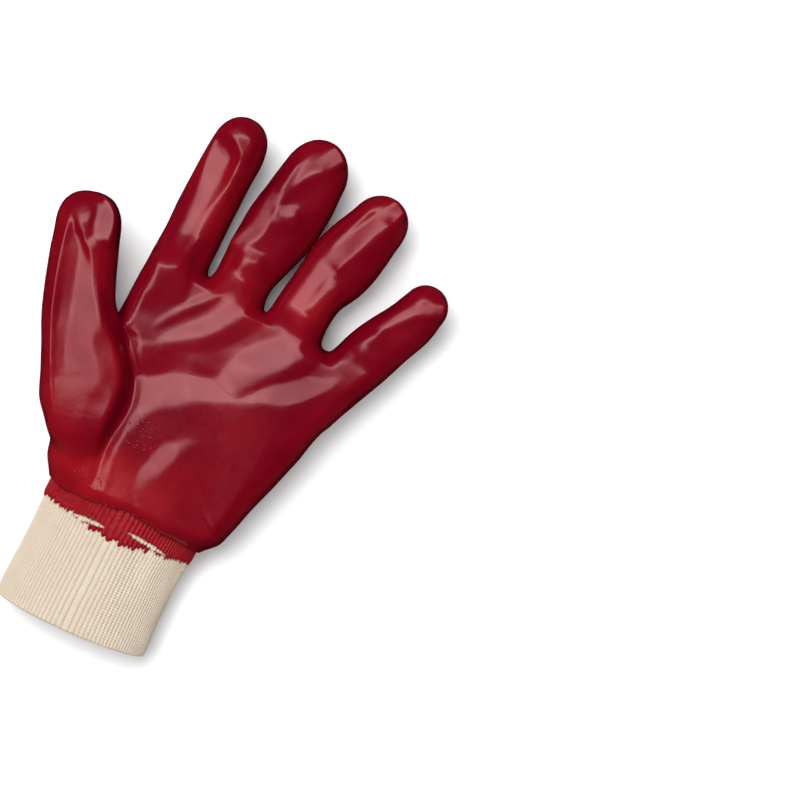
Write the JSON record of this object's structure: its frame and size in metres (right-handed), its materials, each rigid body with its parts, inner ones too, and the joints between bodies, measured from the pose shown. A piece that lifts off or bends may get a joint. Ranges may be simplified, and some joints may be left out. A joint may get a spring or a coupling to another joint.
{
  "type": "pvc coated work glove",
  "caption": "Left-hand work glove of glossy red PVC-coated jersey with a cream rib-knit wrist, hollow and lying palm up.",
  "frame": {"origin": "under the middle of the whole glove's box, on the surface that it lies on", "axes": "+Y from the open wrist to the fingertips, +X from the thumb to the little finger, +Z out of the palm"},
  "size_m": [0.1858, 0.2662, 0.0453],
  "materials": {
    "coating": "smooth glossy dipped PVC",
    "soaked_rib": "PVC soaked into ribbed knit",
    "knit": "soft matte cotton rib knit"
  },
  "bodies": {
    "root": {"coated_hand": "coating", "coated_rib_band": "soaked_rib", "knit_wrist": "knit"}
  },
  "joints": []
}
